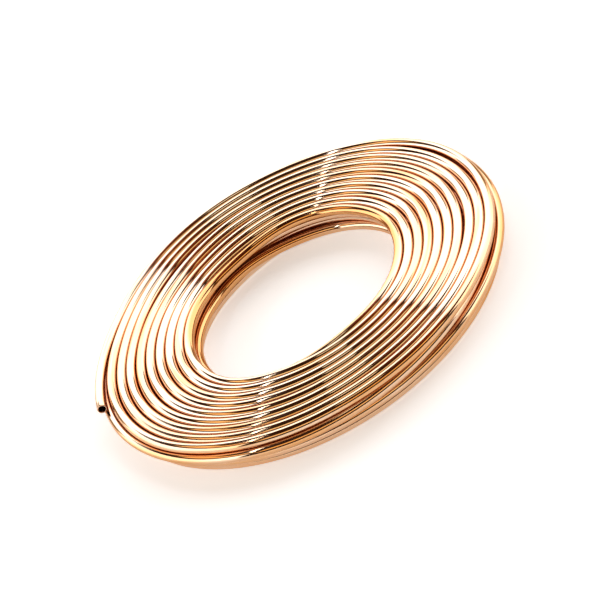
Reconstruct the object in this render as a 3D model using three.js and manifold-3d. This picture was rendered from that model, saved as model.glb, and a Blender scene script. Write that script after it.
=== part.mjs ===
// A pancake coil of soft copper tube, lying flat.
//
// One length of small tube is wound round a drum in four layers of about ten turns. Each layer
// lies in the hollows of the one below it. The wound body is turned here as one solid: its
// section is the outline of the whole stack of round turns, so that every turn shows as a rounded
// ridge on the top, the underside, the rim and the bore. The tube's two open ends leave the rim.
//
// Millimetres, +Z up. The origin is on the coil's axis, in the plane that it lies on.

import * as THREE from 'three';
import { mergeVertices } from 'three/addons/utils/BufferGeometryUtils.js';
import Module from 'manifold-3d';

// Driving sizes of the tube and of the winding.
const tubeDiameter = 6.35;
const tubeWall = 0.7;
const turnGap = 0.2; // play between neighbouring turns of one layer
const boreRadius = 68; // clear radius inside the innermost turn
const layerTurns = [9, 10, 10, 10]; // from the underside up
const layerIsShifted = [true, false, true, false]; // half a turn outwards, into the hollows below

// The free tail: the outer end of the top layer, sprung clear of the rim.
const tailStart = 96; // degrees round the axis, anticlockwise from +X
const tailSweep = 39;
const tailClearance = 3; // between the rim and the cut end
// The lead end: the outer end of the bottom layer, lying against the rim.
const leadStart = 78;
const leadSweep = -33;
const leadClearance = 0.4;
const openDepth = 30; // how far each cut end is hollow
const cutOvershoot = 0.02; // share of an end's length by which its hollow runs past the cut

// Facets.
const sectionSides = 12; // a multiple of 4, so that a side of each turn faces straight down
const stepsRound = 36; // a multiple of 4, so that the coil is as wide along X as along Y
const cornersClearOf = 0.8; // of a side, from the line to the neighbouring turn
const endSteps = 9; // along a tube end
const hollowSteps = 3; // along its open part

// What follows from them.
const tubeRadius = tubeDiameter / 2;
const turnPitch = tubeDiameter + turnGap;
const layerRise = Math.sqrt(tubeDiameter ** 2 - (turnPitch / 2) ** 2);
const innerTurnRadius = boreRadius + tubeRadius;
const topLayer = layerTurns.length - 1;

/** Centre of one turn's section, as x from the axis and y above the ground. */
function turnCentre(layer, turn) {
  const shift = layerIsShifted[layer] ? turnPitch / 2 : 0;
  return new THREE.Vector2(innerTurnRadius + shift + turn * turnPitch, tubeRadius + layer * layerRise);
}

/** Centre of the outermost turn of a layer. */
function outerTurn(layer) {
  return turnCentre(layer, layerTurns[layer] - 1);
}

/** Centres of the turns that show, anticlockwise round the section from the bore's foot. */
function outerRing() {
  const underside = Array.from({ length: layerTurns[0] }, (_, turn) => turnCentre(0, turn));
  const top = Array.from({ length: layerTurns[topLayer] }, (_, turn) => turnCentre(topLayer, turn));
  const between = Array.from({ length: topLayer - 1 }, (_, index) => index + 1);
  const rim = between.map(outerTurn);
  const bore = between.map((layer) => turnCentre(layer, 0)).reverse();
  return [...underside, ...rim, ...top.reverse(), ...bore];
}

/** Corners of the polygon round one turn that stand clear of its two neighbours, on the open side. */
function ridge(centre, before, after) {
  const side = (2 * Math.PI) / sectionSides;
  const clear = side * cornersClearOf;
  const cornerRadius = tubeRadius / Math.cos(side / 2);
  const from = before.clone().sub(centre).angle();
  const sweep = THREE.MathUtils.euclideanModulo(after.clone().sub(centre).angle() - from, 2 * Math.PI);
  const corners = [];
  for (let index = Math.floor(from / side); corners.length <= sectionSides; index += 1) {
    const angle = (index + 0.5) * side;
    if (angle - from > sweep - clear) break;
    if (angle - from < clear) continue;
    const corner = new THREE.Vector2(Math.cos(angle), Math.sin(angle)).multiplyScalar(cornerRadius);
    corners.push(corner.add(centre));
  }
  return corners;
}

/** Section of the whole winding: the ridges, with a valley half way between two turns. */
function windingSection() {
  const turns = outerRing();
  const points = turns.flatMap((centre, index) => {
    const before = turns.at(index - 1);
    const after = turns[(index + 1) % turns.length];
    const valley = before.clone().add(centre).multiplyScalar(0.5);
    return [valley, ...ridge(centre, before, after)];
  });
  return [...points, points[0]];
}

/** Centre line of a tube end that runs round the axis and moves outwards, faster and faster. */
class EndPath extends THREE.Curve {
  constructor({ layer, start, sweep, clearance, from, to }) {
    super();
    const rimRadius = Math.max(...layerTurns.map((_, index) => outerTurn(index).x));
    this.height = outerTurn(layer).y;
    this.innerRadius = outerTurn(layer).x;
    this.outerRadius = rimRadius + clearance;
    Object.assign(this, { start, sweep, from, to });
  }

  getPoint(t, target = new THREE.Vector3()) {
    const along = this.from + (this.to - this.from) * t;
    const angle = THREE.MathUtils.degToRad(this.start + this.sweep * along);
    const radius = this.innerRadius + (this.outerRadius - this.innerRadius) * Math.abs(along) ** 1.5;
    return target.set(radius * Math.cos(angle), radius * Math.sin(angle), this.height);
  }
}

/** A rod of round section along a path. */
function rod(path, radius, steps) {
  const corners = Array.from({ length: sectionSides }, (_, index) => {
    const angle = (2 * Math.PI * index) / sectionSides;
    return new THREE.Vector2(radius * Math.cos(angle), radius * Math.sin(angle));
  });
  return new THREE.ExtrudeGeometry(new THREE.Shape(corners), { steps, extrudePath: path });
}

const wasm = await Module();
wasm.setup();

/** A closed geometry as a solid that can be joined and cut. */
function toSolid(geometry) {
  const bare = geometry.clone();
  bare.deleteAttribute('normal');
  bare.deleteAttribute('uv');
  const merged = mergeVertices(bare, 1e-4);
  return new wasm.Manifold(new wasm.Mesh({
    numProp: 3,
    vertProperties: new Float32Array(merged.attributes.position.array),
    triVerts: new Uint32Array(merged.index.array),
  }));
}

/** A solid as a geometry again. */
function toGeometry(solid) {
  const { vertProperties, triVerts } = solid.getMesh();
  const geometry = new THREE.BufferGeometry();
  geometry.setAttribute('position', new THREE.BufferAttribute(new Float32Array(vertProperties), 3));
  geometry.setIndex(new THREE.BufferAttribute(new Uint32Array(triVerts), 1));
  geometry.computeVertexNormals();
  return geometry;
}

/** The turned body of the winding. */
function windingSolid() {
  const turned = new THREE.LatheGeometry(windingSection(), stepsRound);
  return toSolid(turned.rotateX(Math.PI / 2));
}

/** Joins one tube end to the winding and opens its cut face. */
function addEnd(body, end) {
  const path = new EndPath({ ...end, from: 0, to: 1 });
  const openPath = new EndPath({ ...end, from: 1 - openDepth / path.getLength(), to: 1 + cutOvershoot });
  const tube = rod(path, tubeRadius, endSteps);
  const hollow = rod(openPath, tubeRadius - tubeWall, hollowSteps);
  return body.add(toSolid(tube)).subtract(toSolid(hollow));
}

const tail = { layer: topLayer, start: tailStart, sweep: tailSweep, clearance: tailClearance };
const lead = { layer: 0, start: leadStart, sweep: leadSweep, clearance: leadClearance };

const brightCopper = new THREE.MeshStandardMaterial({ color: 0xe09a62, metalness: 1, roughness: 0.18 });
const tubeCoil = new THREE.Mesh(toGeometry([tail, lead].reduce(addEnd, windingSolid())), brightCopper);
tubeCoil.name = 'tube_coil';

const coil = new THREE.Group();
coil.add(tubeCoil);

export default coil;
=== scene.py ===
# %% [markdown]
# # A pancake coil of bright copper tube
#
# The object is one length of soft copper tube, wound round a drum in four layers, taken off and
# laid flat. This lesson makes that one tube in the way it was wound. First a centre line walks
# through every turn, then each layer settles into the hollows of the one below, then a round
# section is carried along the whole line, with an open cut at each end. After that come the
# polished copper and a small white studio, because bright metal mostly shows the room it lies in.
# Everything is in metres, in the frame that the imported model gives.

# %% Load the frame
"""One tube, one sweep: point = path + radius * (cos(angle) * across + sin(angle) * upward)."""
import math

import bpy
import numpy as np
from mathutils import Matrix, Vector


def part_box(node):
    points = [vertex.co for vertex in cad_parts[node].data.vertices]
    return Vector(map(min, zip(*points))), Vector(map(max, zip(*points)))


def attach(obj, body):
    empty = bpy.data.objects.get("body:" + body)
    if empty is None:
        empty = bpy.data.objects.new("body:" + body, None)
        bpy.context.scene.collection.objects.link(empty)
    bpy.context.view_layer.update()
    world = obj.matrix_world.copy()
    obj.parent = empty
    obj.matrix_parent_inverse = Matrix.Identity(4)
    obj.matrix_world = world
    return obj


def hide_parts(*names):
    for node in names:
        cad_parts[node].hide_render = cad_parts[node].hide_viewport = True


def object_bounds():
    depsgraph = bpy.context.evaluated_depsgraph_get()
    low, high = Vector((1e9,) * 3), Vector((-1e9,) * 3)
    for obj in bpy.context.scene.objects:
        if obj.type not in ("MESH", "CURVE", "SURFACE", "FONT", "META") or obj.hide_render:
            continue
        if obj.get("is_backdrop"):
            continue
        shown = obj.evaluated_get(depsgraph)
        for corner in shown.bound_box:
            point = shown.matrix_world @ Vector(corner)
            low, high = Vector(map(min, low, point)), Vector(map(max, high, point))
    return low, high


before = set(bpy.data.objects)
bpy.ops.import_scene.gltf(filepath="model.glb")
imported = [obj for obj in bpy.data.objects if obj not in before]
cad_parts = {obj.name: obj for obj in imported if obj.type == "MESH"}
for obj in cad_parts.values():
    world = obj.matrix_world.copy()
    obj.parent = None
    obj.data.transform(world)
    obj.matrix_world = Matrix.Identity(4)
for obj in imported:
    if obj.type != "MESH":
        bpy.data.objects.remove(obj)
cad_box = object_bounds()
coil_low, coil_high = (np.array(corner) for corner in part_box("tube_coil"))
MM = 0.001
print("turned solid, mm:", np.round((coil_high - coil_low) / MM, 2))

# %% [markdown]
# ## The camera
#
# A small thing is drawn best from well back with a long lens, so that near and far turns keep
# nearly the same size. The camera looks down on the flat coil and is rolled to one side, which
# puts the ring on a slant in the picture. A constraint that aims the camera would keep it level,
# so it is placed by its three axes instead: out of the picture, right and up. The roll mixes the
# last two.

# %% Camera
VIEW_AZIMUTH = math.radians(-133.0)
VIEW_ELEVATION = math.radians(32.5)
VIEW_ROLL = math.radians(32.8)
VIEW_DISTANCE = 1.77
LENS = 176.0              # mm
SENSOR_WIDTH = 36.0       # mm

outward = Vector((math.cos(VIEW_AZIMUTH) * math.cos(VIEW_ELEVATION),
                  math.sin(VIEW_AZIMUTH) * math.cos(VIEW_ELEVATION), math.sin(VIEW_ELEVATION)))
level_right = Vector((0, 0, 1)).cross(outward).normalized()
level_up = outward.cross(level_right)
picture_right = math.cos(VIEW_ROLL) * level_right - math.sin(VIEW_ROLL) * level_up
picture_up = math.sin(VIEW_ROLL) * level_right + math.cos(VIEW_ROLL) * level_up

camera = bpy.data.objects.new("camera", bpy.data.cameras.new("camera"))
bpy.context.collection.objects.link(camera)
bpy.context.scene.camera = camera
camera.data.lens = LENS
camera.data.sensor_width = SENSOR_WIDTH
middle_height = Vector((0, 0, (coil_low[2] + coil_high[2]) / 2))
camera.matrix_world = (Matrix.Translation(middle_height + outward * VIEW_DISTANCE)
                       @ Matrix((picture_right, picture_up, outward)).transposed().to_4x4())
print("camera at, m:", [round(value, 3) for value in camera.matrix_world.translation])

# %% [markdown]
# ## The sizes of the winding
#
# Two sizes drive everything: the tube's diameter and the play between two turns of a layer. A
# layer lies in the hollows of the one below, so it is not a whole diameter higher. The centres of
# three touching tubes make a triangle, and its height is the rise from layer to layer. The outer
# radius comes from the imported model's box, so the winding fits the solid that it replaces.

# %% Sizes
TUBE_DIAMETER = 6.35 * MM
TUBE_WALL = 0.7 * MM
TURN_GAP = 0.2 * MM
LAYER_TURNS = (9, 10, 10, 10)           # from the underside up
LAYER_SHIFT = (0.5, 0.0, 0.5, 0.0)      # in pitches, outwards, into the hollows below

tube_radius = TUBE_DIAMETER / 2
turn_pitch = TUBE_DIAMETER + TURN_GAP
layer_rise = math.sqrt(TUBE_DIAMETER ** 2 - (turn_pitch / 2) ** 2)
rim_centre = (coil_high[0] - coil_low[0]) / 2 - tube_radius
widest = max(turns - 1 + shift for turns, shift in zip(LAYER_TURNS, LAYER_SHIFT))
first_turn = rim_centre - widest * turn_pitch
top_layer = len(LAYER_TURNS) - 1
print("bore radius, mm:", round((first_turn - tube_radius) / MM, 2),
      " rise of a layer, mm:", round(layer_rise / MM, 3))

# %% [markdown]
# ## The order of winding
#
# The tube starts outside on the table, spirals inwards, climbs at the bore into the hollows of
# its own first layer, spirals outwards, climbs at the rim, and so on. A turn keeps to its groove
# for most of the way round and then steps over to the next one. Closed rings would be easier to
# make, but a stack of rings has no ends and none of these steps. So the winding is a list of
# states, each a layer and a turn. Every step comes a little earlier than the last, because the
# tube that lies there must have moved away first. Where the tube climbs to a new layer it needs
# the room of a whole turn, so the pass after that steps aside much earlier, and so does the one
# that passes the tube's own first end. The other buried steps take up the rest.

# %% States
LEAD_AZIMUTH = 45.0       # degrees: cut end of the bottom layer
LEAD_SWEEP = 33.0
TAIL_AZIMUTH = 96.0       # where the free tail leaves the rim
TAIL_SWEEP = 39.0
STEP_SWEEP = 75.0         # how long a step from groove to groove takes
SHOWN_STAGGER = 1.6       # how much earlier each step comes, in the layers that show
CLIMB_STAGGER = 58.0      # the same for the pass after a climb
LEAD_STAGGER = 36.0       # the same for the pass beside the first end

states = []
for layer, turns in enumerate(LAYER_TURNS):
    order = range(turns) if layer % 2 else reversed(range(turns))
    states += [(layer, turn) for turn in order]
layer_of = np.array([layer for layer, _ in states])

path_start = LEAD_AZIMUTH
tail_start = TAIL_AZIMUTH + 360.0 * (len(states) - 1)
path_end = tail_start + TAIL_SWEEP
stagger = np.where((layer_of == 0) | (layer_of == top_layer), SHOWN_STAGGER, np.nan)
stagger[np.flatnonzero(np.diff(layer_of)) + 1] = CLIMB_STAGGER
stagger[0] = LEAD_STAGGER
buried = np.isnan(stagger)
stagger_in_all = 360.0 * len(states) - (tail_start - path_start)
stagger[buried] = (stagger_in_all - stagger[~buried].sum()) / buried.sum()
begins = path_start + np.concatenate([[0.0], np.cumsum(360.0 - stagger)])
print("turns:", len(states),
      " stagger of the other buried steps, degrees:", round(float(stagger[buried][0]), 2))

# %% [markdown]
# ## Turns that are not perfect circles
#
# Soft tube never lies in perfect rings. Neighbours touch in one place and stand apart in another,
# and the whole coil is a little oval. Random numbers at every point would make the tube shiver,
# so each gap gets a slow wave round the coil instead: a few cosines with seeded phases. All gaps
# of a layer share one sum of play, so turns wander but never run into each other. Where the coil
# was bent in somebody's hands, a few turns have parted for good, and one sees into the layer below.

# %% Slow waves round the coil
PLAY = 1.6 * MM           # all the gaps of one layer together
UNEVENNESS = 1.5          # how differently the gaps share it
OVALITY = 0.45 * MM
OVAL_LEAN = 0.3           # how much more oval one side of the coil is than the other
WAVES = np.arange(1, 5)   # how many times each cosine goes round the coil
SETTLE_WAVES = 5          # cosines that lift and lower the finished centre line
SEED = 1666
PARTINGS = (              # layer, gap, azimuth and half width in degrees, opening
    (top_layer, 5, 74.0, 42.0, 2.8 * MM),
    (top_layer, 3, 62.0, 40.0, 2.5 * MM),
    (top_layer, 1, 50.0, 36.0, 1.3 * MM),
    (top_layer, 8, -20.0, 38.0, 1.5 * MM),
    (top_layer, 6, -58.0, 30.0, 0.9 * MM),
    (top_layer, 4, 205.0, 30.0, 1.0 * MM),
    (top_layer, 7, 240.0, 26.0, 0.8 * MM))
seeded = np.random.default_rng(SEED)
wave_phase = seeded.uniform(0, 2 * np.pi, (len(LAYER_TURNS), max(LAYER_TURNS), len(WAVES)))
wave_size = seeded.normal(0, 1, (len(LAYER_TURNS), max(LAYER_TURNS), len(WAVES)))
oval_phase = seeded.uniform(0, 2 * np.pi, 2)
settle_phase = seeded.uniform(0, 2 * np.pi, SETTLE_WAVES)
print("cosines for the gaps:", wave_phase.size, " partings:", len(PARTINGS))


# %% Where one turn lies
def gap_wave(layer, gap, azimuth):
    """Half the sum over m of size_m * cos(m * azimuth + phase_m) / sqrt(m)."""
    cosines = np.cos(WAVES * azimuth[:, None] + wave_phase[layer, gap])
    return (cosines * wave_size[layer, gap] / np.sqrt(WAVES)).sum(axis=1) / 2


def parted(layer, turn, azimuth):
    """Half the opening * (1 + cos(pi x)) / 2, outwards beyond the gap and inwards before it."""
    moved = np.zeros(len(azimuth))
    for at_layer, gap, middle, half_width, opening in PARTINGS:
        x = ((np.degrees(azimuth) - middle + 180) % 360 - 180) / half_width
        push = opening / 2 * (1 + np.cos(np.pi * np.clip(x, -1, 1))) / 2
        moved += (at_layer == layer) * (push if turn > gap else -push)
    return moved


def turn_radius(layer, turn, azimuth):
    """Inner edge + diameters of the turns inside + their share of the play + the oval."""
    turns = LAYER_TURNS[layer]
    waves = np.stack([gap_wave(layer, gap, azimuth) for gap in range(turns - 1)])
    shares = np.exp(UNEVENNESS * waves)
    inside = shares[:turn].sum(axis=0) / shares.sum(axis=0)
    start = first_turn + LAYER_SHIFT[layer] * turn_pitch + ((turns - 1) * TURN_GAP - PLAY) / 2
    lean = 1 - OVAL_LEAN + OVAL_LEAN * np.cos(azimuth + oval_phase[1])
    oval = OVALITY * np.cos(2 * azimuth + oval_phase[0]) * lean
    return start + turn * TUBE_DIAMETER + inside * PLAY + oval


all_round = np.radians(np.arange(360.0))
outermost = turn_radius(top_layer, LAYER_TURNS[top_layer] - 1, all_round)
print("outermost turn of the top layer, mm:",
      np.round([outermost.min() / MM, outermost.max() / MM], 2))

# %% [markdown]
# ## Walking along the tube
#
# The path is sampled by the angle travelled since the start, not by azimuth, so that 39 turns
# are one long row of numbers. Turns that can be seen get many samples, buried ones few: the
# eye never meets them, and the mesh stays light.

# %% Samples
FINE_STEP = 2.5           # degrees
BURIED_STEP = 10.0


def can_be_seen(layer, turn):
    """True in the outer layers, and for the first and last turn of a buried layer."""
    return layer in (0, top_layer) or turn in (0, LAYER_TURNS[layer] - 1)


pieces = []
for number, state in enumerate(states):
    before = states[max(number - 1, 0)]
    step = FINE_STEP if can_be_seen(*state) or can_be_seen(*before) else BURIED_STEP
    count = int(round((begins[number + 1] - begins[number]) / step))
    pieces.append(np.linspace(begins[number], begins[number + 1], count, endpoint=False))
pieces.append(np.linspace(tail_start, path_end, int(TAIL_SWEEP / FINE_STEP) + 1))
travelled = np.concatenate(pieces)
azimuth = np.radians(travelled % 360.0)
print("samples along the tube:", len(travelled))

# %% [markdown]
# Each sample lies in a groove or on its way from one groove to the next. A straight ramp between
# two grooves would kink the tube at both ends, so their radii are mixed by a smooth step, and the
# openings of the parted turns the same way.

# %% Radius of the centre line
def smooth_step(x):
    """x held between 0 and 1, then 3 x^2 - 2 x^3."""
    x = np.clip(x, 0.0, 1.0)
    return x * x * (3.0 - 2.0 * x)


now = np.clip(np.searchsorted(begins, travelled, side="right") - 1, 0, len(states) - 1)
before = np.maximum(now - 1, 0)
blend = smooth_step((travelled - begins[now]) / STEP_SWEEP)
blend[now == 0] = 1.0
sample = np.arange(len(travelled))
grooves = np.stack([turn_radius(layer, turn, azimuth) for layer, turn in states])
opened = np.stack([parted(layer, turn, azimuth) for layer, turn in states])
opening = (1 - blend) * opened[before, sample] + blend * opened[now, sample]
radius = (1 - blend) * grooves[before, sample] + blend * grooves[now, sample] + opening
print("radius of the grooves, mm:", np.round([radius.min() / MM, radius.max() / MM], 2))

# %% [markdown]
# A climbing tube cannot cut the corner, because the next turn lies in it. It swings out a little
# on its way up, into the bore or beyond the rim.
#
# Both ends of the tube lie outside the rim. The bottom one hugs it, and the top one swings a few
# millimetres clear. Their distance from the rim grows with the power 1.5 of the way, so that they
# leave the winding without a kink.

# %% Climbs and free ends
CLIMB_SWING = 0.85 * MM
LEAD_CLEARANCE = 0.4 * MM
TAIL_CLEARANCE = 3.0 * MM
END_POWER = 1.5

climbs = layer_of[now] != layer_of[before]
outwards = np.where(layer_of[now] % 2, -1, 1)
radius += climbs * outwards * CLIMB_SWING * 4 * blend * (1 - blend)
last_turns = [turn_radius(layer, turns - 1, azimuth) for layer, turns in enumerate(LAYER_TURNS)]
rim = np.max(last_turns, axis=0)
lead = np.clip(1 - (travelled - path_start) / LEAD_SWEEP, 0, 1)
tail = np.clip((travelled - tail_start) / TAIL_SWEEP, 0, 1)
radius += lead ** END_POWER * (rim + LEAD_CLEARANCE - radius)
radius += tail ** END_POWER * (rim + TAIL_CLEARANCE - radius)
print("climbs at, degrees:", np.round(begins[np.flatnonzero(np.diff(layer_of)) + 1] % 360, 1))

# %% [markdown]
# ## Settling into the hollows
#
# A tube rests on whatever lies under it. Over two tubes it sinks into the hollow, and where it
# crosses a ridge it has to climb. A simulation could let the turns drop, but it would be slow for
# so long a tube, and the rule is simple. For each point we look up every pass of the layer below
# at the same azimuth: circles of one diameter that touch are a diameter apart, so the height
# above a tube at distance d is sqrt(D^2 - d^2), and the highest of these carries the point. Soft
# tube gives way a little, so only part of the climb is kept. It is stiff along its length,
# though: it spans a hole and cannot follow a sharp hump, so the heights are evened out along it.

# %% How a turn is carried
CLIMB_KEPT = 0.4
MOST_CLIMB = 1.1 * MM     # up or down
ROUNDING = 0.12 * MM      # softens the change from one carrying tube to the next
STIFFNESS = 7.0           # degrees round the coil over which a hump is evened out
REACH = 4                 # how many times STIFFNESS the evening looks to each side
state_height = tube_radius + layer_of * layer_rise
height = np.full(len(travelled), tube_radius)


def evened(place, values):
    """Mean over the neighbourhood, weighted by exp(-(distance / STIFFNESS)^2 / 2)."""
    even_place = np.arange(place[0], place[-1] + FINE_STEP, FINE_STEP)
    reach = int(REACH * STIFFNESS / FINE_STEP)
    weight = np.exp(-(np.arange(-reach, reach + 1) * FINE_STEP / STIFFNESS) ** 2 / 2)
    padded = np.pad(np.interp(even_place, place, values), reach, mode="edge")
    return np.interp(place, even_place, np.convolve(padded, weight / weight.sum(), mode="valid"))


def carried_height(layer, chosen):
    """Soft maximum over the passes below of height + sqrt(D^2 - distance^2)."""
    low = begins[np.flatnonzero(layer_of == layer - 1)[0]]
    high = begins[np.flatnonzero(layer_of == layer)[0]]
    passes = np.arange(LAYER_TURNS[layer - 1] + 1) * 360.0
    places = low + (travelled[chosen, None] - low) % 360.0 + passes
    away = radius[chosen, None] - np.interp(places, travelled, radius)
    rise = np.sqrt(np.maximum(TUBE_DIAMETER ** 2 - away ** 2, 0))
    top = np.interp(places, travelled, height) + rise
    top = np.where((places < high) & (np.abs(away) < TUBE_DIAMETER), top, 0.0)
    return ROUNDING * np.log(np.exp(top / ROUNDING).sum(axis=1))


print("a hump is evened out over, degrees to each side:", REACH * STIFFNESS)

# %% Heights, layer by layer
for layer in range(1, len(LAYER_TURNS)):
    chosen = np.flatnonzero(layer_of[now] == layer)
    level = state_height[now[chosen]]
    climb = np.clip(CLIMB_KEPT * (carried_height(layer, chosen) - level), -MOST_CLIMB, MOST_CLIMB)
    rests_at = level + evened(travelled[chosen], climb)
    came_from = np.where(layer_of[before[chosen]] == layer, rests_at, state_height[before[chosen]])
    height[chosen] = (1 - blend[chosen]) * came_from + blend[chosen] * rests_at
    lowest, highest = height[chosen].min(), height[chosen].max()
    print("layer", layer, "heights, mm:", np.round([lowest / MM, highest / MM], 2))

# %% [markdown]
# ## The finished centre line
#
# Two last touches: the free tail sinks a little, most at its end, and every turn off the floor
# rises and falls by a tenth of a millimetre, slowly and at odds with its neighbours. Polished tube
# shows that much in its reflections.

# %% Finished centre line
TAIL_DROOP = 0.3 * MM
DROOP_POWER = 4           # a beam held at one end bends by about this power of its length
SETTLE = 0.12 * MM
SETTLE_RATES = np.array([0.37, 0.83, 1.31, 2.17, 3.4])    # waves in one turn

height -= TAIL_DROOP * tail ** DROOP_POWER
settle = np.cos(np.radians(travelled)[:, None] * SETTLE_RATES + settle_phase).mean(axis=1)
height += SETTLE * settle * np.clip((height - tube_radius) / layer_rise, 0, 1)

path = np.stack([radius * np.cos(azimuth), radius * np.sin(azimuth), height], axis=1)
along = np.concatenate([[0.0], np.cumsum(np.linalg.norm(np.diff(path, axis=0), axis=1))])
print("tube length, m:", round(float(along[-1]), 2))

# %% [markdown]
# ## A round section, carried along
#
# A curve object with a round bevel would give the same skin, but no rolled cut ends, and no
# coordinates in real millimetres for the finish. So the rings are worked out here. The path is
# nearly level everywhere, so a simple frame is enough: the tangent, an upward vector made square
# to it, and their cross product. No twist can creep in, which matters because the marks of
# drawing run along the tube and would show it.
#
# A cut end is not a flat disc. The wheel of a tube cutter rolls the edge in, and inside the wall
# is the dark bore. The same sweep makes all of it if the row of rings turns round at the cut:
# bore, cut face, rolled edge, skin, and the same in reverse at the other end.

# %% The mouth of a cut end
OPEN_DEPTH = 30 * MM
ROLLED_EDGE = 0.3 * MM
BORE_PARTS = (1.0, 0.6, 0.3, 0.12, 0.03)    # of the open depth, where the bore has its rings
FACE_PARTS = (0.0, 0.5, 1.0)                # of the cut face's width, the same
EDGE_TURNS = (30.0, 60.0, 90.0)             # degrees round the rolled edge, the same
inner_radius = tube_radius - TUBE_WALL


def mouth_rings():
    """Rows of (distance back from the cut, radius), from deep in the bore out to the skin."""
    bore = [(OPEN_DEPTH * part, inner_radius) for part in BORE_PARTS]
    face = [(0.0, inner_radius + (TUBE_WALL - ROLLED_EDGE) * part) for part in FACE_PARTS]
    edge = [(ROLLED_EDGE * (1 - math.cos(turn)), tube_radius - ROLLED_EDGE * (1 - math.sin(turn)))
            for turn in np.radians(EDGE_TURNS)]
    return np.array(bore + face + edge)


mouth = mouth_rings()
print("rings of a mouth:", len(mouth), " bore of the tube, mm:", round(2 * inner_radius / MM, 2))

# %% Rings of the sweep
SIDES = 24                # of each ring
tangent = np.gradient(path, axis=0)
tangent /= np.linalg.norm(tangent, axis=1)[:, None]
upward = np.array([0.0, 0.0, 1.0]) - tangent[:, 2:] * tangent
upward /= np.linalg.norm(upward, axis=1)[:, None]
across = np.cross(tangent, upward)

ring_along = np.concatenate([mouth[:, 0], along[1:-1], along[-1] - mouth[::-1, 0]])
ring_radius = np.concatenate([mouth[:, 1], np.full(len(path) - 2, tube_radius), mouth[::-1, 1]])


def at_rings(values):
    """Columns of path values, looked up at every ring's distance along the tube."""
    return np.stack([np.interp(ring_along, along, column) for column in values.T], axis=1)


centre, ring_across, ring_upward = at_rings(path), at_rings(across), at_rings(upward)
angle = 2 * np.pi * np.arange(SIDES) / SIDES
spoke = (np.cos(angle)[None, :, None] * ring_across[:, None]
         + np.sin(angle)[None, :, None] * ring_upward[:, None])
skin = centre[:, None] + ring_radius[:, None, None] * spoke
print("rings:", len(skin), " triangles:", 2 * SIDES * len(skin))

# %% [markdown]
# The rings become quads between each ring and the next, and a small fan of triangles closes the
# bore deep inside each end. An unwrapping tool would cut the long skin into islands. Here the
# coordinates are known, so they are written down: u is the distance along the tube in metres, and
# v is the part of a turn around it.

# %% Mesh, with u in metres along the tube and v in turns around it
rings = len(skin)
points = np.concatenate([skin.reshape(-1, 3), centre[:1], centre[-1:]])
ring, side = np.meshgrid(np.arange(rings - 1), np.arange(SIDES), indexing="ij")
beside = (side + 1) % SIDES
quads = np.stack([ring * SIDES + side, (ring + 1) * SIDES + side,
                  (ring + 1) * SIDES + beside, ring * SIDES + beside], axis=-1).reshape(-1, 4)
corner = np.arange(SIDES)
last_ring = (rings - 1) * SIDES
lead_plug = np.stack([np.full(SIDES, rings * SIDES), corner, (corner + 1) % SIDES], axis=1)
tail_plug = np.stack([np.full(SIDES, rings * SIDES + 1), last_ring + (corner + 1) % SIDES,
                      last_ring + corner], axis=1)
faces = quads.tolist() + lead_plug.tolist() + tail_plug.tolist()

tube_mesh = bpy.data.meshes.new("copper_tube")
tube_mesh.from_pydata(points.tolist(), [], faces)
u, v = ring_along, np.arange(SIDES + 1) / SIDES
quad_uv = np.stack([np.stack([u[ring], v[side]], -1), np.stack([u[ring + 1], v[side]], -1),
                    np.stack([u[ring + 1], v[side + 1]], -1), np.stack([u[ring], v[side + 1]], -1)],
                   axis=-2).reshape(-1, 2)
plug_uv = np.zeros((2 * SIDES * 3, 2))      # two plugs of triangles, three corners each
tube_mesh.uv_layers.new(name="along_and_around").data.foreach_set(
    "uv", np.concatenate([quad_uv, plug_uv]).astype(np.float32).ravel())
tube_mesh.polygons.foreach_set("use_smooth", np.ones(len(faces), dtype=bool))
tube_mesh.update()
print("points:", len(points), " quads:", len(quads), " plug triangles:", 2 * SIDES)

# %% [markdown]
# Between the turns the copper gets a painted shade: brown where a turn faces its neighbour, and
# dark red deep between them. To paint it later, each point of the skin must know how sheltered it
# is. A shader can find that out with the Ambient Occlusion node, but slowly, and an exported mesh
# would lose it, so it is worked out once and stored. In a plane through the coil's axis every pass
# of the tube is a circle. From each point we look in a fan of directions around the normal, and
# count those that meet another circle: a direction d meets a centre c when c lies ahead, c . d > 0,
# and the distance aside, |c x d|, is less than the tube's radius. It is worked out on the closed
# winding, without the partings.

# %% How sheltered each point is, stored on the mesh
FAN_EDGE, FAN_STEP = 82.5, 15.0         # degrees to each side of the normal, and between looks
fan = np.radians(np.arange(-FAN_EDGE, FAN_EDGE + FAN_STEP / 2, FAN_STEP))
fan_weight = np.cos(fan) / np.cos(fan).sum()
look_out = np.cos(angle[:, None] + fan)
look_up = np.sin(angle[:, None] + fan)
met = np.zeros((len(travelled), SIDES, len(fan)), dtype=bool)
closed_radius = radius - opening
for turns_away in range(-len(states), len(states) + 1):
    place = travelled + 360.0 * turns_away
    there = np.flatnonzero((place >= travelled[0]) & (place <= travelled[-1]) & (turns_away != 0))
    out = np.interp(place[there], travelled, closed_radius) - closed_radius[there]
    out = out[:, None] - tube_radius * np.cos(angle)
    up = np.interp(place[there], travelled, height) - height[there]
    up = up[:, None] - tube_radius * np.sin(angle)
    ahead = out[:, :, None] * look_out + up[:, :, None] * look_up
    aside = out[:, :, None] * look_up - up[:, :, None] * look_out
    met[there] |= (ahead > 0) & (np.abs(aside) < tube_radius)
sheltered = met @ fan_weight
shelter_values = np.concatenate([at_rings(sheltered).ravel(), [0.0, 0.0]]).astype(np.float32)
tube_mesh.attributes.new("sheltered", "FLOAT", "POINT").data.foreach_set("value", shelter_values)
print("sheltered, quarter points:", np.round(np.percentile(sheltered, [25, 50, 75]), 2))

# %% [markdown]
# A mesh is only right if its faces look outwards. The sum of the small pyramids under its
# triangles is the volume inside, and it comes out negative when the faces are inside out.

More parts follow.
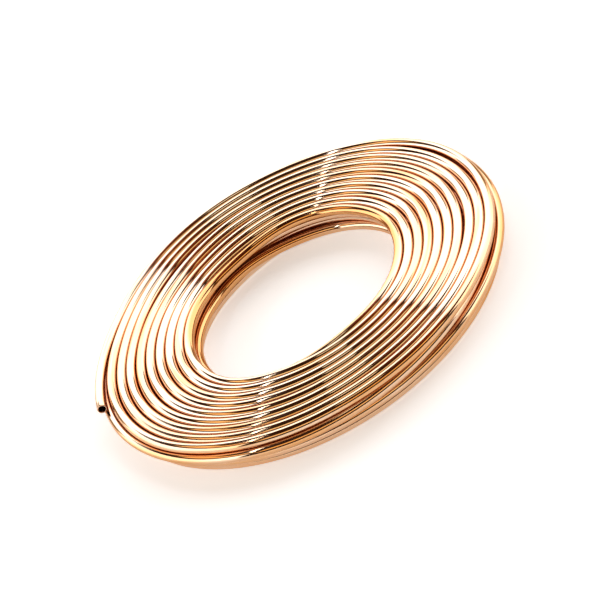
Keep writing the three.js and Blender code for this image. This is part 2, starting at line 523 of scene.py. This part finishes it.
# %% Check the volume, and put the tube on its body
a, b, c = points[quads[:, 0]], points[quads[:, 1]], points[quads[:, 2]]
d = points[quads[:, 3]]
volume = (np.einsum("ij,ij->", a, np.cross(b, c)) + np.einsum("ij,ij->", a, np.cross(c, d))) / 6
print("volume, cm3:", round(float(volume) * 1e6, 1), " of a plain rod:",
      round(math.pi * tube_radius ** 2 * float(along[-1]) * 1e6, 1))

tube = bpy.data.objects.new("copper_tube", tube_mesh)
bpy.context.collection.objects.link(tube)
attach(tube, "root")
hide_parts("tube_coil")


# %% [markdown]
# ## Bright drawn copper
#
# The tube was pulled through a polished die and annealed bright, so it mirrors the room, a little
# softened, and everything it shows is tinted. Light that bounces twice between two turns is
# tinted twice, and that makes the grooves orange; a painted shade between the turns darkens them
# further. A metal has its tint in the base colour. One colour all over would look like foil, so
# the finish is a set of coppers, mixed by masks: clean, handled, tinted by the heat of annealing,
# more golden towards the bore, a painted golden reflection on the rim, and a painted shade between
# the turns. All patterns are measured on the tube itself, so many millimetres along and so many
# around, because a pattern fixed in space would cut across the turns. One helper adds every node.

# %% Helpers for materials
def to_linear(hex_colour, level=1.0):
    """level * (c / 12.92 up to 0.04045, above it ((c + 0.055) / 1.055) to the power 2.4)."""
    channels = [int(hex_colour[start:start + 2], 16) / 255 for start in (1, 3, 5)]
    linear = [c / 12.92 if c <= 0.04045 else ((c + 0.055) / 1.055) ** 2.4 for c in channels]
    return tuple(level * c for c in linear) + (1.0,)


def feed(tree, node, inputs):
    """Gives each input of a node, by number or by name, a value or a link."""
    for key, value in (inputs.items() if isinstance(inputs, dict) else enumerate(inputs)):
        if isinstance(value, bpy.types.NodeSocket):
            tree.links.new(value, node.inputs[key])
        else:
            node.inputs[key].default_value = value


def add_node(tree, kind, inputs=(), **settings):
    """Adds a node, sets its properties, feeds its inputs and returns its outputs."""
    node = tree.nodes.new(kind)
    for name, value in settings.items():
        setattr(node, name, value)
    feed(tree, node, inputs)
    return node.outputs


print("half bright grey, linear:", round(to_linear("#808080")[0], 3))

# %% Noise that is measured on the tube
PATCH_DETAIL = 2.0                # how many finer copies of a noise are added to it
FINE_DETAIL = 1.0


def tube_noise(tree, around_size, along_size, detail=0.0, found=(0.0, 1.0), wanted=(0.0, 1.0)):
    """Noise at (R cos v, R sin v) / around_size and u / along_size, stretched: found to wanted."""
    uv = add_node(tree, "ShaderNodeUVMap", uv_map="along_and_around")
    split = add_node(tree, "ShaderNodeSeparateXYZ", [uv[0]])
    turn = add_node(tree, "ShaderNodeMath", [split["Y"], 2 * math.pi], operation="MULTIPLY")[0]
    cosine = add_node(tree, "ShaderNodeMath", [turn], operation="COSINE")[0]
    sine = add_node(tree, "ShaderNodeMath", [turn], operation="SINE")[0]
    place = add_node(tree, "ShaderNodeCombineXYZ", [cosine, sine, split["X"]])[0]
    around = tube_radius / around_size
    scaled = add_node(tree, "ShaderNodeVectorMath", [place, (around, around, 1 / along_size)],
                      operation="MULTIPLY")[0]
    noise = add_node(tree, "ShaderNodeTexNoise", {
        "Vector": scaled, "Scale": 1.0, "Detail": detail})[0]
    return add_node(tree, "ShaderNodeMapRange", [noise, *found, *wanted])[0]


print("way round the tube, mm:", round(2 * math.pi * tube_radius / MM, 1))

# %% [markdown]
# Hands leave long patches that are a shade darker. The heat of annealing leaves golden ones. Both
# are noise that is stretched along the tube, because it was handled and heated as it ran past.

# %% The skin's colours, by hand and heat
MIDDLE = (0.35, 0.65)             # where most values of a noise lie
HAND_PATCH = (9 * MM, 140 * MM)   # around and along the tube, as long as a hand's grip
HEAT_PATCH = (4.5 * MM, 80 * MM)
HOT = (0.56, 0.68)                # the few values above that are the golden patches
MOST_HEATED = 0.6                 # how golden a patch is, from 0 to 1
COPPER_CLEAN = "#EDD8C4"          # bright and only a little warm, so its highlights stay white
COPPER_HANDLED = "#E3C4A6"        # a shade browner, where hands were
COPPER_TINTED = "#DBA062"         # golden: a thin oxide in the heat patches, also the bore's colour and the rim's painted reflection

skin_copper = bpy.data.materials.new("bright drawn copper")
skin_copper.use_nodes = True
tree = skin_copper.node_tree
handled = tube_noise(tree, *HAND_PATCH, PATCH_DETAIL, MIDDLE)
shade = add_node(tree, "ShaderNodeMix", {0: handled, 6: to_linear(COPPER_CLEAN),
                                         7: to_linear(COPPER_HANDLED)}, data_type="RGBA")[2]
heated = tube_noise(tree, *HEAT_PATCH, PATCH_DETAIL, HOT, (0.0, MOST_HEATED))
print("clean copper, linear:", np.round(to_linear(COPPER_CLEAN)[:3], 2),
      " tinted:", np.round(to_linear(COPPER_TINTED)[:3], 2))

# %% [markdown]
# The first turns, round the bore, are more golden. The outer turns at the rim get a painted golden
# reflection, a little patchy. These two masks come from the distance to the coil's axis. The
# painted reflection on the rim lies only where the tube faces outwards, which its v coordinate
# tells: v is 0 outwards and 0.25 upwards, so cos(2 pi v) is 1 outwards.

# %% The skin's colours: golden at the bore, painted reflection at the rim
MOST_GOLDEN_AT_BORE = 0.9                # how golden the bore's wall is
RIM_REFLECTION_PATCH = (7 * MM, 60 * MM)
RIM_REFLECTION_STRENGTH = (0.35, 0.9)              # how strong the painted golden reflection on the rim is, from place to place
FACES_OUT = (0.1, 0.7)            # cos(2 pi v) where the rim's painted reflection starts and is full
rim_starts = rim_centre - turn_pitch

place = add_node(tree, "ShaderNodeTexCoord")["Object"]
level_place = add_node(tree, "ShaderNodeVectorMath", [place, (1.0, 1.0, 0.0)],
                       operation="MULTIPLY")[0]
from_axis = add_node(tree, "ShaderNodeVectorMath", [level_place], operation="LENGTH")["Value"]
# More golden towards the bore.
bore_side = add_node(tree, "ShaderNodeMapRange", [
    from_axis, first_turn - tube_radius / 2, first_turn + tube_radius / 2, MOST_GOLDEN_AT_BORE, 0.0])[0]
# Painted golden reflection at the rim: the outer turns, on their outward faces only, a little
# patchy.
rim_reflection_mask = add_node(tree, "ShaderNodeMapRange", [
    from_axis, rim_starts, rim_starts + tube_radius / 2, 0.0, 1.0])[0]
tube_uv = add_node(tree, "ShaderNodeUVMap", uv_map="along_and_around")[0]
turned = add_node(tree, "ShaderNodeMath", [
    add_node(tree, "ShaderNodeSeparateXYZ", [tube_uv])["Y"], 2 * math.pi], operation="MULTIPLY")[0]
outward_part = add_node(tree, "ShaderNodeMath", [turned], operation="COSINE")[0]
faces_out = add_node(tree, "ShaderNodeMapRange", [outward_part, *FACES_OUT, 0.0, 1.0])[0]
rim_reflection_mask = add_node(tree, "ShaderNodeMath", [rim_reflection_mask, faces_out], operation="MULTIPLY")[0]
rim_reflection_patches = tube_noise(tree, *RIM_REFLECTION_PATCH, PATCH_DETAIL, MIDDLE, RIM_REFLECTION_STRENGTH)
painted_rim_reflection = add_node(tree, "ShaderNodeMath", [rim_reflection_mask, rim_reflection_patches], operation="MULTIPLY")[0]
golden = add_node(tree, "ShaderNodeMath", [heated, bore_side], operation="MAXIMUM")[0]
golden = add_node(tree, "ShaderNodeMath", [golden, painted_rim_reflection], operation="MAXIMUM")[0]
tint = add_node(tree, "ShaderNodeMix", {0: golden, 6: shade, 7: to_linear(COPPER_TINTED)},
                data_type="RGBA")[2]
print("golden inside a radius of, mm:", round((first_turn + tube_radius / 2) / MM, 1),
      " and beyond, mm:", round(rim_starts / MM, 1))

# %% [markdown]
# This is the painted shade between the turns. Noise alone would put it anywhere, so it follows
# the sheltered value on the mesh: a painted brown shade where a turn faces its neighbour, and a
# dark red one deep between them, both a little patchy.

# %% The painted shade between the turns
SHADE_BETWEEN = (0.35, 0.7)       # how sheltered the copper is where the painted shade starts and is full
DEEP_BETWEEN = (0.6, 0.85)        # the same for the dark red one
SHADE_PATCH = (6 * MM, 45 * MM)
PATCHY = (0.6, 1.0)               # how strong the painted shade is, from place to place
COPPER_SHADED = "#CC8046"
COPPER_DEEP_SHADE = "#A64E24"
# Painted shade between the turns: brown where a turn faces its neighbour, dark red deep between
# them.
shelter = add_node(tree, "ShaderNodeAttribute", attribute_name="sheltered")["Fac"]
shaded_and_dull = add_node(tree, "ShaderNodeMapRange", [shelter, *SHADE_BETWEEN, 0.0, 1.0])[0]
deep = add_node(tree, "ShaderNodeMapRange", [shelter, *DEEP_BETWEEN, 0.0, 1.0])[0]
patchy = tube_noise(tree, *SHADE_PATCH, PATCH_DETAIL, MIDDLE, PATCHY)
shaded_and_dull = add_node(tree, "ShaderNodeMath", [shaded_and_dull, patchy], operation="MULTIPLY")[0]
painted_shade = add_node(tree, "ShaderNodeMix", {0: deep, 6: to_linear(COPPER_SHADED),
                                         7: to_linear(COPPER_DEEP_SHADE)}, data_type="RGBA")[2]
skin_colour = add_node(tree, "ShaderNodeMix", {0: shaded_and_dull, 6: tint, 7: painted_shade}, data_type="RGBA")[2]
with_painted_shade = (sheltered > SHADE_BETWEEN[0]).mean()
print("share of the copper with some stain:", round(float(with_painted_shade), 2))

# %% [markdown]
# The die leaves fine lines along the tube, and coiling leaves shallow waves that make every
# reflection waver. Both are bump, because they are far too fine for the mesh. The lines are ten
# times finer in truth, and are drawn this coarse to show at all. Bright annealed tube is nearly
# a mirror, with a roughness of about a tenth, and it is duller between the turns, where the
# painted shade lies.

# %% The skin's relief, roughness and shader
LINE_SPACING, LINE_LENGTH = 0.9 * MM, 60 * MM
LINE_HEIGHT = 0.008 * MM
WAVE_PATCH = (12 * MM, 30 * MM)
WAVE_HEIGHT = 0.12 * MM
DULL_PATCH = (5 * MM, 35 * MM)
MIRROR_ROUGHNESS = (0.05, 0.13)
BETWEEN_ROUGHNESS = 0.12              # added to it between the turns, where the painted shade lies
COPPER_GRAZING = "#F3DECC"        # what the edge of a tube shows, where it is seen at a slant
die_lines = tube_noise(tree, LINE_SPACING, LINE_LENGTH)
shallow_waves = tube_noise(tree, *WAVE_PATCH)
line_bump = add_node(tree, "ShaderNodeBump", {
    "Height": die_lines, "Strength": 1.0, "Distance": LINE_HEIGHT})[0]
wave_bump = add_node(tree, "ShaderNodeBump", {
    "Height": shallow_waves, "Strength": 1.0, "Distance": WAVE_HEIGHT, "Normal": line_bump})[0]
dulled = tube_noise(tree, *DULL_PATCH, FINE_DETAIL, MIDDLE, MIRROR_ROUGHNESS)
roughness = add_node(tree, "ShaderNodeMath", [shaded_and_dull, BETWEEN_ROUGHNESS, dulled],
                     operation="MULTIPLY_ADD")[0]
feed(tree, tree.nodes["Principled BSDF"], {
    "Base Color": skin_colour, "Metallic": 1.0, "Roughness": roughness, "Normal": wave_bump,
    "Specular Tint": to_linear(COPPER_GRAZING)})
print("nodes in the skin:", len(tree.nodes))

# %% [markdown]
# The cut face was parted by the cutter's wheel: fresh pink metal, half dull, with fine chatter
# marks across it that break its one highlight up. The bore was drawn over a plug and never
# polished again, so it is a shade browner and blurs what it mirrors. It needs no darker colour
# inside: as in a real tube, it soon turns dark with depth.

# %% Cut face and bore
FRESH_COPPER = "#E9BFA2"
CUT_ROUGHNESS = 0.28
MARK_PATCH = (0.25 * MM, 0.05 * MM)
MARK_HEIGHT = 0.01 * MM
BORE_COPPER = "#A8704E"
BORE_PATCH = (2 * MM, 6 * MM)
BORE_ROUGHNESS = (0.3, 0.45)

cut_copper = bpy.data.materials.new("wheel-cut copper face")
cut_copper.use_nodes = True
tree = cut_copper.node_tree
chatter_marks = tube_noise(tree, *MARK_PATCH, FINE_DETAIL)
mark_bump = add_node(tree, "ShaderNodeBump", {
    "Height": chatter_marks, "Strength": 1.0, "Distance": MARK_HEIGHT})[0]
feed(tree, tree.nodes["Principled BSDF"], {
    "Base Color": to_linear(FRESH_COPPER), "Metallic": 1.0, "Roughness": CUT_ROUGHNESS,
    "Normal": mark_bump})

bore_copper = bpy.data.materials.new("dull plug-drawn bore")
bore_copper.use_nodes = True
tree = bore_copper.node_tree
bore_dulled = tube_noise(tree, *BORE_PATCH, FINE_DETAIL, MIDDLE, BORE_ROUGHNESS)
feed(tree, tree.nodes["Principled BSDF"], {
    "Base Color": to_linear(BORE_COPPER), "Metallic": 1.0, "Roughness": bore_dulled})
print("cut face, linear:", np.round(to_linear(FRESH_COPPER)[:3], 2),
      " bore:", np.round(to_linear(BORE_COPPER)[:3], 2))

# %% [markdown]
# The skin, the cut and the bore are one piece of copper, so they stay one mesh, and each face of
# it gets the number of its finish. The rings are in order, so a count from the nearer end tells
# which face is which.

# %% Which face has which finish
for material in (skin_copper, cut_copper, bore_copper):
    tube_mesh.materials.append(material)
ring_of_face = np.concatenate([ring.ravel(), np.zeros(2 * SIDES, dtype=int)])
from_end = np.minimum(ring_of_face, rings - 2 - ring_of_face)
face_ends = len(BORE_PARTS) + len(FACE_PARTS) - 1
finish_of_face = np.where(from_end < len(BORE_PARTS), 2, np.where(from_end < face_ends, 1, 0))
tube_mesh.polygons.foreach_set("material_index", finish_of_face.astype(np.int32))
print("faces of skin, cut and bore:", np.bincount(finish_of_face))

# %% [markdown]
# ## The studio
#
# Polished metal needs a room to mirror. A white backdrop stands low behind the coil and round its
# sides, and two large soft lights rise above it to the right. Between them the room is dark, and
# this dark is what draws the black lines along the turns. The floor is white paper, a little cool
# so that it stays white under the warm lamp. Its own light is added only for rays that look at
# it, so that the paper reads as white in the picture and in the metal, while the coil keeps its
# shadow.

# %% Paper floor
FLOOR_HALF = 4.0
FLOOR_GLOW = 0.42
PAPER_WHITE = "#F3F7FC"
PAPER_ROUGHNESS = 0.9     # matt: it scatters light evenly and shows no highlight

paper = bpy.data.materials.new("matt white studio paper")
paper.use_nodes = True
tree = paper.node_tree
ray = add_node(tree, "ShaderNodeLightPath")
looks = add_node(tree, "ShaderNodeMath", [ray["Is Camera Ray"], ray["Is Glossy Ray"]],
                 operation="MAXIMUM")[0]
looks = add_node(tree, "ShaderNodeMath", [looks, ray["Is Transmission Ray"]],
                 operation="MAXIMUM")[0]
glow = add_node(tree, "ShaderNodeMath", [looks, FLOOR_GLOW], operation="MULTIPLY")[0]
feed(tree, tree.nodes["Principled BSDF"], {
    "Base Color": to_linear(PAPER_WHITE), "Roughness": PAPER_ROUGHNESS,
    "Emission Color": to_linear("#FFFFFF"), "Emission Strength": glow})

floor_mesh = bpy.data.meshes.new("paper_floor")
signs = np.array([(-1, -1, 0), (1, -1, 0), (1, 1, 0), (-1, 1, 0)])
floor_mesh.from_pydata((signs * FLOOR_HALF).tolist(), [], [(0, 1, 2, 3)])
floor_mesh.materials.append(paper)
floor = bpy.data.objects.new("paper_floor", floor_mesh)
bpy.context.collection.objects.link(floor)
floor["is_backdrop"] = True
print("paper floor, m:", 2 * FLOOR_HALF, "square, linear green:",
      round(to_linear(PAPER_WHITE)[1], 2))

# %% [markdown]
# The backdrop and the large lights could be lamps or lit sheets, but they are painted on the sky
# as panels instead: these can have soft edges, so no hard corner shows in the metal, and they
# cost nothing to render. A panel has a middle, so many degrees to the left of straight ahead, a
# half width, and a lowest and a highest elevation. It is a product of smooth steps, and each one
# is laid over the sky made so far.
#
# A tube mirrors a whole cone of directions round its own axis, so one panel shows as one long
# line on every turn. The thin golden cards draw fine golden lines beside the dark ones. The
# red-brown card overhead warms the dark of the turns at the left, and two grey-brown flags
# before the backdrop draw the lines inside the white.

# %% The panels of light
DARK_SKY = "#38210F"      # a dark brown, so that the lines along the turns are not dead black
PANELS = (                # left, half width, bottom, top, soft edge in degrees, colour, level
    (-76, 32, 58, 78, 5.0, "#A04418", 0.8),
    (180, 60, 27, 43, 2.0, "#FFD9A0", 1.3),
    (66, 34, 47, 52, 3.0, "#FFC680", 1.5),
    (0, 112, -20, 33, 3.0, "#FFFFFF", 2.3),
    (-15, 21, 20, 51, 3.0, "#FFFFFF", 2.4),
    (-45, 30, 24, 60, 3.0, "#FFFFFF", 2.2),
    (-34, 6, -20, 20, 3.0, "#A18B74", 1.0),
    (34, 6, -20, 20, 3.0, "#A18B74", 1.0))
print("panels of light, highest level:", len(PANELS), max(row[-1] for row in PANELS))

# %% One panel of light
world = bpy.data.worlds.new("studio")
bpy.context.scene.world = world
world.use_nodes = True
tree = world.node_tree
look = add_node(tree, "ShaderNodeTexCoord")["Generated"]
look_parts = add_node(tree, "ShaderNodeSeparateXYZ", [look])
elevation = add_node(tree, "ShaderNodeMath", [look_parts["Z"]], operation="ARCSINE")[0]


def panel(to_left, half_width, bottom, top, soft):
    """1 inside the panel and 0 outside: smooth side edge * smooth top edge * smooth bottom edge."""
    turned = add_node(tree, "ShaderNodeVectorRotate", {
        "Vector": look, "Angle": math.pi - VIEW_AZIMUTH - math.radians(to_left)},
        rotation_type="Z_AXIS")[0]
    parts = add_node(tree, "ShaderNodeSeparateXYZ", [turned])
    side = add_node(tree, "ShaderNodeMath", [parts["Y"], parts["X"]], operation="ARCTAN2")[0]
    aside = add_node(tree, "ShaderNodeMath", [side], operation="ABSOLUTE")[0]
    inside = 1.0
    edges = ((aside, half_width, half_width + soft),
             (elevation, top, top + soft),
             (elevation, bottom, bottom - soft))
    for measured, edge, beyond in edges:
        step = add_node(tree, "ShaderNodeMapRange", [
            measured, math.radians(beyond), math.radians(edge), 0.0, 1.0],
            interpolation_type="SMOOTHSTEP")[0]
        inside = add_node(tree, "ShaderNodeMath", [inside, step], operation="MULTIPLY")[0]
    return inside


print("nodes to look round the sky:", len(tree.nodes))

# %% The sky, panel over panel
sky = to_linear(DARK_SKY)
for to_left, half_width, bottom, top, soft, colour, level in PANELS:
    inside = panel(to_left, half_width, bottom, top, soft)
    sky = add_node(tree, "ShaderNodeMix", {0: inside, 6: sky, 7: to_linear(colour, level)},
                   data_type="RGBA")[2]
seen = add_node(tree, "ShaderNodeLightPath")["Is Camera Ray"]
sky = add_node(tree, "ShaderNodeMix", {0: seen, 6: sky, 7: to_linear("#FFFFFF")},
               data_type="RGBA")[2]
feed(tree, tree.nodes["Background"], {"Color": sky, "Strength": 1.0})
print("nodes in the sky:", len(tree.nodes))

# %% [markdown]
# The last two lights are small, and a small light on the sky renders with much noise, so they
# are lamps. The overhead one is square and warm. The other is a narrow strip that puts one short
# sparkle on every turn, all in one row across the ring: it stands where the turns at one azimuth
# mirror it. That is on the cone of directions round the tube's axis again, so the strip lies
# along this cone.

# %% One lamp
def area_lamp(name, place, aim, long_axis, width, length, radiance, colour=(1.0, 1.0, 1.0)):
    """Rectangular lamp facing its aim; its power is radiance * area * pi."""
    data = bpy.data.lights.new(name, "AREA")
    data.shape = "RECTANGLE"
    data.size, data.size_y = width, length
    data.energy = radiance * width * length * math.pi
    data.color = colour
    away = place - aim
    facing = (away - away.dot(long_axis) * long_axis).normalized()
    lamp = bpy.data.objects.new(name, data)
    lamp.matrix_world = Matrix.Translation(place) @ Matrix(
        (long_axis.cross(facing), long_axis, facing)).transposed().to_4x4()
    bpy.context.collection.objects.link(lamp)
    print(name, "watts:", round(data.energy, 3))


# %% The two lamps
SPARKLE_AZIMUTH = VIEW_AZIMUTH + math.radians(150.0)
STRIP_ENDS = (94.0, 128.0)        # degrees, on the cone
STRIP_DISTANCE = 1.5
STRIP_WIDTH = 0.045
STRIP_RADIANCE = 7.0
OVERHEAD_HEIGHT = 2.0
OVERHEAD_ASIDE = 0.17             # from the axis towards the camera
OVERHEAD_SIZE = 0.45
OVERHEAD_RADIANCE = 1.4
OVERHEAD_COLOUR = "#FFEDCB"

radial = Vector((math.cos(SPARKLE_AZIMUTH), math.sin(SPARKLE_AZIMUTH), 0))
tube_axis = Vector((-radial.y, radial.x, 0))
slant = outward.dot(tube_axis)


def mirrored(degrees):
    """sqrt(1 - slant^2) * (cos * radial + sin * up) - slant * axis: a direction on the cone."""
    turn = math.radians(degrees)
    in_plane = math.cos(turn) * radial + math.sin(turn) * Vector((0, 0, 1))
    return math.sqrt(1 - slant ** 2) * in_plane - slant * tube_axis


sparkle_place = radial * (first_turn + rim_centre) / 2
strip_low, strip_high = (sparkle_place + mirrored(end) * STRIP_DISTANCE for end in STRIP_ENDS)
strip_line = strip_high - strip_low
area_lamp("strip_lamp", (strip_low + strip_high) / 2, sparkle_place, strip_line.normalized(),
          STRIP_WIDTH, strip_line.length, STRIP_RADIANCE)
overhead_place = Vector((OVERHEAD_ASIDE * math.cos(VIEW_AZIMUTH),
                         OVERHEAD_ASIDE * math.sin(VIEW_AZIMUTH), OVERHEAD_HEIGHT))
area_lamp("overhead_lamp", overhead_place, Vector(), level_right, OVERHEAD_SIZE, OVERHEAD_SIZE,
          OVERHEAD_RADIANCE, to_linear(OVERHEAD_COLOUR)[:3])
bpy.context.scene.view_settings.view_transform = "Standard"
print("strip lamp, m:", round(strip_line.length, 2), "long")

# %% [markdown]
# ## Sizes at the end
#
# The visual model stays in the imported model's box, apart from half a millimetre in height, where
# turns climb over others.

# %% The sizes, and finish
visual_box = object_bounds()
cad_size, visual_size = (np.subtract(box[1], box[0]) for box in (cad_box, visual_box))
print("visual size against the packed one:", np.round(visual_size / cad_size, 4))
